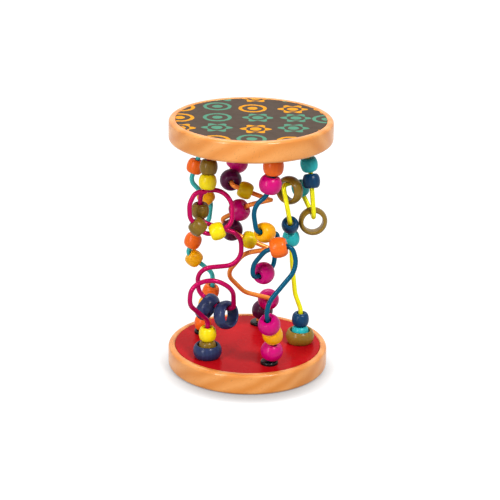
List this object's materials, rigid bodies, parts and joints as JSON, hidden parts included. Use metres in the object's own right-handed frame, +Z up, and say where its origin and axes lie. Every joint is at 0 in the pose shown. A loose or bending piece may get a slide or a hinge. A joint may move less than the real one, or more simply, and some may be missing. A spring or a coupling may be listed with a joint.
{
  "type": "bead maze",
  "caption": "Round bead maze toy: two wooden plates held apart by bent painted wires, with wooden beads and rings that slide, spin and swing on them.",
  "frame": {"origin": "centre of the underside of the base plate, on the plane it stands on", "axes": "+Z up, from the base plate to the top plate; -Y towards the viewer of the picture; +X to the right in the picture"},
  "size_m": [0.12, 0.12, 0.193],
  "materials": {
    "natural_wood": "satin clear lacquer",
    "red_panel": "gloss red lacquer",
    "dark_panel": "satin printed lacquer",
    "black_bush": "gloss",
    "magenta_steel": "gloss paint",
    "turquoise_steel": "gloss paint",
    "orange_steel": "gloss paint",
    "blue_steel": "gloss paint",
    "yellow_steel": "gloss paint",
    "yellow_bead": "gloss paint",
    "olive_bead": "gloss paint",
    "navy_bead": "gloss paint",
    "orange_bead": "gloss paint",
    "amber_bead": "gloss paint",
    "magenta_bead": "gloss paint",
    "plum_bead": "gloss paint",
    "turquoise_bead": "gloss paint"
  },
  "bodies": {
    "cage": {"base_plate": "natural_wood", "base_inner_panel": "red_panel", "base_outer_panel": "dark_panel", "base_bushes": "black_bush", "top_plate": "natural_wood", "top_inner_panel": "red_panel", "top_outer_panel": "dark_panel", "top_bushes": "black_bush", "magenta_wire": "magenta_steel", "turquoise_wire": "turquoise_steel", "orange_wire": "orange_steel", "blue_wire": "blue_steel", "yellow_wire": "yellow_steel"},
    "magenta_wire_01_yellow_barrel": {"magenta_wire_01_yellow_barrel": "yellow_bead"},
    "magenta_wire_02_olive_barrel": {"magenta_wire_02_olive_barrel": "olive_bead"},
    "magenta_wire_03_olive_barrel": {"magenta_wire_03_olive_barrel": "olive_bead"},
    "magenta_wire_04_yellow_barrel": {"magenta_wire_04_yellow_barrel": "yellow_bead"},
    "magenta_wire_05_olive_barrel": {"magenta_wire_05_olive_barrel": "olive_bead"},
    "magenta_wire_06_navy_ring": {"magenta_wire_06_navy_ring": "navy_bead"},
    "magenta_wire_07_navy_ring": {"magenta_wire_07_navy_ring": "navy_bead"},
    "magenta_wire_08_olive_barrel": {"magenta_wire_08_olive_barrel": "olive_bead"},
    "magenta_wire_09_yellow_barrel": {"magenta_wire_09_yellow_barrel": "yellow_bead"},
    "magenta_wire_10_navy_ring": {"magenta_wire_10_navy_ring": "navy_bead"},
    "turquoise_wire_01_orange_barrel": {"turquoise_wire_01_orange_barrel": "orange_bead"},
    "turquoise_wire_02_amber_barrel": {"turquoise_wire_02_amber_barrel": "amber_bead"},
    "turquoise_wire_03_orange_barrel": {"turquoise_wire_03_orange_barrel": "orange_bead"},
    "turquoise_wire_04_amber_barrel": {"turquoise_wire_04_amber_barrel": "amber_bead"},
    "turquoise_wire_05_orange_barrel": {"turquoise_wire_05_orange_barrel": "orange_bead"},
    "turquoise_wire_06_amber_barrel": {"turquoise_wire_06_amber_barrel": "amber_bead"},
    "turquoise_wire_07_orange_barrel": {"turquoise_wire_07_orange_barrel": "orange_bead"},
    "orange_wire_01_magenta_round": {"orange_wire_01_magenta_round": "magenta_bead"},
    "orange_wire_02_plum_round": {"orange_wire_02_plum_round": "plum_bead"},
    "orange_wire_03_yellow_barrel": {"orange_wire_03_yellow_barrel": "yellow_bead"},
    "orange_wire_04_magenta_round": {"orange_wire_04_magenta_round": "magenta_bead"},
    "orange_wire_05_plum_round": {"orange_wire_05_plum_round": "plum_bead"},
    "orange_wire_06_yellow_barrel": {"orange_wire_06_yellow_barrel": "yellow_bead"},
    "orange_wire_07_magenta_round": {"orange_wire_07_magenta_round": "magenta_bead"},
    "orange_wire_08_plum_round": {"orange_wire_08_plum_round": "plum_bead"},
    "blue_wire_01_orange_drum": {"blue_wire_01_orange_drum": "orange_bead"},
    "blue_wire_02_magenta_round": {"blue_wire_02_magenta_round": "magenta_bead"},
    "blue_wire_03_amber_drum": {"blue_wire_03_amber_drum": "amber_bead"},
    "blue_wire_04_orange_drum": {"blue_wire_04_orange_drum": "orange_bead"},
    "blue_wire_05_magenta_round": {"blue_wire_05_magenta_round": "magenta_bead"},
    "blue_wire_06_amber_drum": {"blue_wire_06_amber_drum": "amber_bead"},
    "blue_wire_07_magenta_round": {"blue_wire_07_magenta_round": "magenta_bead"},
    "blue_wire_08_magenta_round": {"blue_wire_08_magenta_round": "magenta_bead"},
    "yellow_wire_01_turquoise_barrel": {"yellow_wire_01_turquoise_barrel": "turquoise_bead"},
    "yellow_wire_02_navy_barrel": {"yellow_wire_02_navy_barrel": "navy_bead"},
    "yellow_wire_03_olive_ring": {"yellow_wire_03_olive_ring": "olive_bead"},
    "yellow_wire_04_turquoise_barrel": {"yellow_wire_04_turquoise_barrel": "turquoise_bead"},
    "yellow_wire_05_olive_ring": {"yellow_wire_05_olive_ring": "olive_bead"},
    "yellow_wire_06_navy_barrel": {"yellow_wire_06_navy_barrel": "navy_bead"},
    "yellow_wire_07_turquoise_barrel": {"yellow_wire_07_turquoise_barrel": "turquoise_bead"},
    "yellow_wire_08_turquoise_barrel": {"yellow_wire_08_turquoise_barrel": "turquoise_bead"},
    "yellow_wire_09_navy_barrel": {"yellow_wire_09_navy_barrel": "navy_bead"},
    "yellow_wire_10_olive_ring": {"yellow_wire_10_olive_ring": "olive_bead"}
  },
  "joints": [
    {"name": "magenta_wire_01_yellow_barrel_spin", "type": "hinge", "parent": "cage", "child": "magenta_wire_01_yellow_barrel", "pos_m": [-0.03055, -0.02887, 0.15365], "axis": [-0.0571, -0.1449, -0.9878], "continuous": true},
    {"name": "magenta_wire_02_olive_barrel_slide", "type": "slide", "parent": "cage", "child": "magenta_wire_02_olive_barrel", "axis": [0.0571, 0.1449, 0.9878], "range_m": [0, 0.003]},
    {"name": "magenta_wire_03_olive_barrel_slide", "type": "slide", "parent": "cage", "child": "magenta_wire_03_olive_barrel", "axis": [0.7037, -0.0586, -0.7081], "range_m": [-0.0019, 0.0006]},
    {"name": "magenta_wire_04_yellow_barrel_slide", "type": "slide", "parent": "cage", "child": "magenta_wire_04_yellow_barrel", "axis": [0.9284, 0.1032, 0.3571], "range_m": [0, 0.002]},
    {"name": "magenta_wire_05_olive_barrel_slide", "type": "slide", "parent": "cage", "child": "magenta_wire_05_olive_barrel", "axis": [0, -0.0422, 0.9991], "range_m": [0, 0.004]},
    {"name": "magenta_wire_06_navy_ring_slide", "type": "slide", "parent": "cage", "child": "magenta_wire_06_navy_ring", "axis": [-0.7958, 0.3714, 0.4783], "range_m": [0, 0.0025]},
    {"name": "magenta_wire_07_navy_ring_swing", "type": "hinge", "parent": "cage", "child": "magenta_wire_07_navy_ring", "pos_m": [-0.01706, -0.02444, 0.05428], "axis": [0.8039, -0.5592, 0.2026], "range_deg": [-8, 8]},
    {"name": "magenta_wire_08_olive_barrel_spin", "type": "hinge", "parent": "cage", "child": "magenta_wire_08_olive_barrel", "pos_m": [-0.02973, -0.02677, 0.02375], "axis": [0, 0, -1], "continuous": true},
    {"name": "magenta_wire_09_yellow_barrel_slide", "type": "slide", "parent": "cage", "child": "magenta_wire_09_yellow_barrel", "axis": [0, 0, 1], "range_m": [0, 0.0025]},
    {"name": "magenta_wire_10_navy_ring_slide", "type": "slide", "parent": "cage", "child": "magenta_wire_10_navy_ring", "axis": [0, 0, 1], "range_m": [0, 0.01]},
    {"name": "turquoise_wire_01_orange_barrel_slide", "type": "slide", "parent": "cage", "child": "turquoise_wire_01_orange_barrel", "axis": [-0.3012, -0.0916, -0.9492], "range_m": [-0.012, 0.002]},
    {"name": "turquoise_wire_02_amber_barrel_slide", "type": "slide", "parent": "cage", "child": "turquoise_wire_02_amber_barrel", "axis": [-0.6828, 0, 0.7306], "range_m": [0, 0.006]},
    {"name": "turquoise_wire_03_orange_barrel_slide", "type": "slide", "parent": "cage", "child": "turquoise_wire_03_orange_barrel", "axis": [0.368, 0, 0.9298], "range_m": [0, 0.002]},
    {"name": "turquoise_wire_04_amber_barrel_slide", "type": "slide", "parent": "cage", "child": "turquoise_wire_04_amber_barrel", "axis": [0.7757, 0, -0.631], "range_m": [0, 0.009]},
    {"name": "turquoise_wire_05_orange_barrel_slide", "type": "slide", "parent": "cage", "child": "turquoise_wire_05_orange_barrel", "axis": [0.2619, -0.107, 0.9591], "range_m": [0, 0.002]},
    {"name": "turquoise_wire_06_amber_barrel_slide", "type": "slide", "parent": "cage", "child": "turquoise_wire_06_amber_barrel", "axis": [-0.2619, 0.107, -0.9591], "range_m": [0, 0.0035]},
    {"name": "turquoise_wire_07_orange_barrel_spin", "type": "hinge", "parent": "cage", "child": "turquoise_wire_07_orange_barrel", "pos_m": [-0.03464, 0.02, 0.02375], "axis": [0, 0, -1], "continuous": true},
    {"name": "orange_wire_01_magenta_round_slide", "type": "slide", "parent": "cage", "child": "orange_wire_01_magenta_round", "axis": [0.6065, 0.1375, 0.7831], "range_m": [0, 0.015]},
    {"name": "orange_wire_02_plum_round_spin", "type": "hinge", "parent": "cage", "child": "orange_wire_02_plum_round", "pos_m": [-0.01461, 0.02189, 0.13867], "axis": [0.1597, -0.981, -0.1102], "continuous": true},
    {"name": "orange_wire_03_yellow_barrel_slide", "type": "slide", "parent": "cage", "child": "orange_wire_03_yellow_barrel", "axis": [0.9365, -0.0329, -0.3492], "range_m": [0, 0.01]},
    {"name": "orange_wire_04_magenta_round_slide", "type": "slide", "parent": "cage", "child": "orange_wire_04_magenta_round", "axis": [0.8096, -0.2429, 0.5344], "range_m": [0, 0.0033]},
    {"name": "orange_wire_05_plum_round_spin", "type": "hinge", "parent": "cage", "child": "orange_wire_05_plum_round", "pos_m": [-0.01312, 0.00142, 0.10644], "axis": [0.4957, -0.8607, -0.1161], "continuous": true},
    {"name": "orange_wire_06_yellow_barrel_slide", "type": "slide", "parent": "cage", "child": "orange_wire_06_yellow_barrel", "axis": [0.9153, 0.0174, -0.4023], "range_m": [0, 0.012]},
    {"name": "orange_wire_07_magenta_round_spin", "type": "hinge", "parent": "cage", "child": "orange_wire_07_magenta_round", "pos_m": [0.01548, 0.02942, 0.04015], "axis": [-0.1022, 0.8941, -0.436], "continuous": true},
    {"name": "orange_wire_08_plum_round_spin", "type": "hinge", "parent": "cage", "child": "orange_wire_08_plum_round", "pos_m": [0.0111, 0.03862, 0.0272], "axis": [-0.3609, 0.0657, -0.9303], "continuous": true},
    {"name": "blue_wire_01_orange_drum_spin", "type": "hinge", "parent": "cage", "child": "blue_wire_01_orange_drum", "pos_m": [0.01627, -0.03654, 0.1685], "axis": [0, 0, -1], "continuous": true},
    {"name": "blue_wire_02_magenta_round_spin", "type": "hinge", "parent": "cage", "child": "blue_wire_02_magenta_round", "pos_m": [0.01431, -0.03626, 0.15492], "axis": [-0.2118, 0.0304, -0.9768], "continuous": true},
    {"name": "blue_wire_03_amber_drum_slide", "type": "slide", "parent": "cage", "child": "blue_wire_03_amber_drum", "axis": [0.6653, 0.6861, -0.2945], "range_m": [0, 0.0045]},
    {"name": "blue_wire_04_orange_drum_spin", "type": "hinge", "parent": "cage", "child": "blue_wire_04_orange_drum", "pos_m": [0.02125, -0.0435, 0.1097], "axis": [0.9702, -0.0524, 0.2364], "continuous": true},
    {"name": "blue_wire_05_magenta_round_slide", "type": "slide", "parent": "cage", "child": "blue_wire_05_magenta_round", "axis": [0.6398, 0.7577, 0.1288], "range_m": [0, 0.0022]},
    {"name": "blue_wire_06_amber_drum_spin", "type": "hinge", "parent": "cage", "child": "blue_wire_06_amber_drum", "pos_m": [0.0183, -0.04125, 0.04087], "axis": [0.2244, 0.495, -0.8394], "continuous": true},
    {"name": "blue_wire_07_magenta_round_slide", "type": "slide", "parent": "cage", "child": "blue_wire_07_magenta_round", "axis": [-0.2244, -0.495, 0.8394], "range_m": [0, 0.0035]},
    {"name": "blue_wire_08_magenta_round_spin", "type": "hinge", "parent": "cage", "child": "blue_wire_08_magenta_round", "pos_m": [0.01795, -0.03697, 0.02601], "axis": [-0.2342, 0.0602, -0.9703], "continuous": true},
    {"name": "yellow_wire_01_turquoise_barrel_slide", "type": "slide", "parent": "cage", "child": "yellow_wire_01_turquoise_barrel", "axis": [-0.2007, 0.0296, 0.9792], "range_m": [0, 0.009]},
    {"name": "yellow_wire_02_navy_barrel_slide", "type": "slide", "parent": "cage", "child": "yellow_wire_02_navy_barrel", "axis": [0.0927, -0.2693, -0.9586], "range_m": [0, 0.004]},
    {"name": "yellow_wire_03_olive_ring_swing", "type": "hinge", "parent": "cage", "child": "yellow_wire_03_olive_ring", "pos_m": [0.04693, 0.00298, 0.11785], "axis": [-0.0664, 0.9957, -0.0641], "range_deg": [-22, 0]},
    {"name": "yellow_wire_04_turquoise_barrel_spin", "type": "hinge", "parent": "cage", "child": "yellow_wire_04_turquoise_barrel", "pos_m": [0.03733, 0.01482, 0.13538], "axis": [-0.3751, -0.1223, 0.9189], "continuous": true},
    {"name": "yellow_wire_05_olive_ring_swing", "type": "hinge", "parent": "cage", "child": "yellow_wire_05_olive_ring", "pos_m": [0.02918, 0.00685, 0.14184], "axis": [-0.6173, -0.7862, 0.0281], "range_deg": [-12, 3]},
    {"name": "yellow_wire_06_navy_barrel_spin", "type": "hinge", "parent": "cage", "child": "yellow_wire_06_navy_barrel", "pos_m": [0.03005, -0.002, 0.11228], "axis": [0.063, 0.7449, -0.6642], "continuous": true},
    {"name": "yellow_wire_07_turquoise_barrel_slide", "type": "slide", "parent": "cage", "child": "yellow_wire_07_turquoise_barrel", "axis": [0.0663, 0.0872, -0.994], "range_m": [0, 0.014]},
    {"name": "yellow_wire_08_turquoise_barrel_spin", "type": "hinge", "parent": "cage", "child": "yellow_wire_08_turquoise_barrel", "pos_m": [0.03978, 0.00418, 0.02375], "axis": [0, 0, -1], "continuous": true},
    {"name": "yellow_wire_09_navy_barrel_slide", "type": "slide", "parent": "cage", "child": "yellow_wire_09_navy_barrel", "axis": [0, 0, 1], "range_m": [0, 0.0025]},
    {"name": "yellow_wire_10_olive_ring_slide", "type": "slide", "parent": "cage", "child": "yellow_wire_10_olive_ring", "axis": [0, 0, 1], "range_m": [0, 0.01]}
  ]
}
